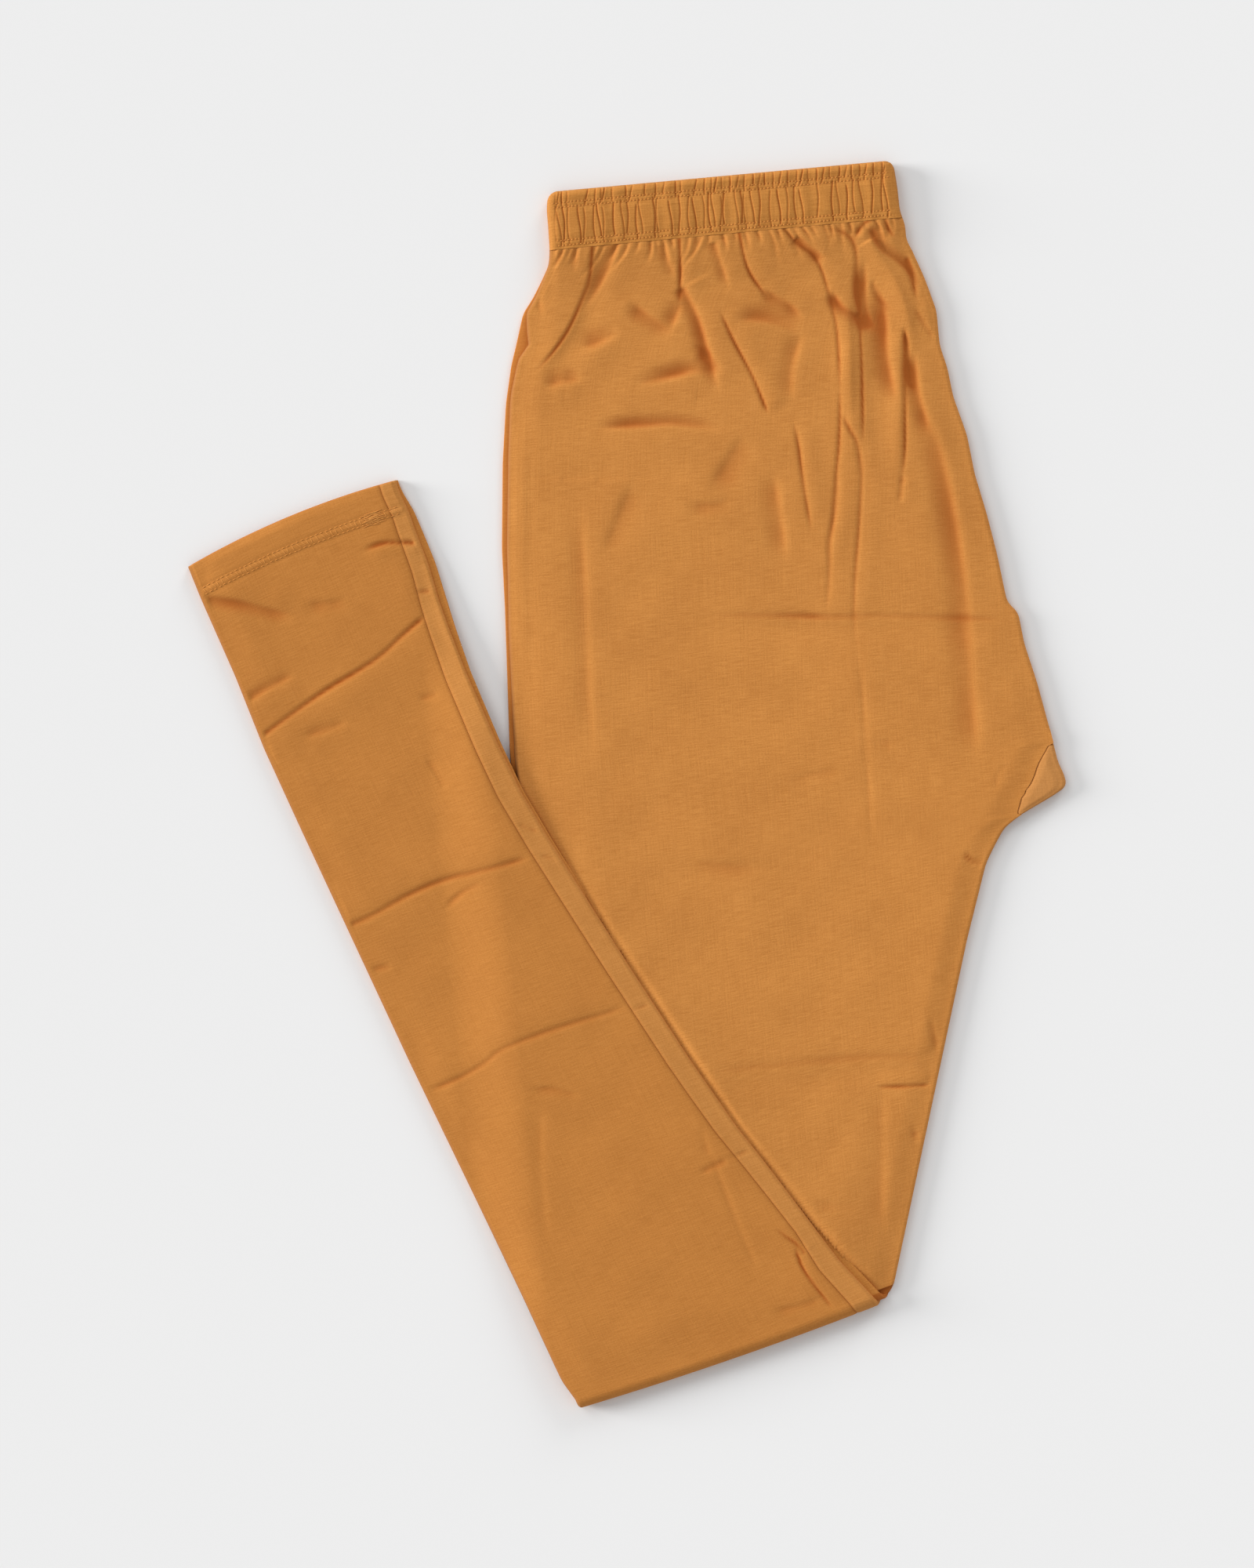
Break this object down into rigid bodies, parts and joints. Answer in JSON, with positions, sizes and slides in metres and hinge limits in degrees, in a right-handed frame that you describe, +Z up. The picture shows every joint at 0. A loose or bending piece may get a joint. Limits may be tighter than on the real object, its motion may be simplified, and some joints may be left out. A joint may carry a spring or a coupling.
{
  "type": "churidar trousers",
  "caption": "Churidar trousers in cotton jersey with a gathered elastic waistband, folded lengthwise and folded up at the knee, lying flat.",
  "frame": {"origin": "centre of the bounding box at the surface that the folded garment lies on", "axes": "+Z up from that surface, +Y from the bottom fold towards the waistband, +X towards the crotch gusset"},
  "size_m": [0.4592, 0.6504, 0.0097],
  "materials": {
    "hidden_layers": "matt cotton jersey",
    "waistband": "matt cotton jersey",
    "thigh_panel": "matt cotton jersey",
    "crotch_gusset": "matt cotton jersey",
    "shin_panel": "matt cotton jersey",
    "shin_inseam_strip": "matt cotton jersey"
  },
  "bodies": {
    "root": {"hidden_layers": "hidden_layers", "waistband": "waistband", "thigh_panel": "thigh_panel", "crotch_gusset": "crotch_gusset", "shin_panel": "shin_panel", "shin_inseam_strip": "shin_inseam_strip"}
  },
  "joints": []
}
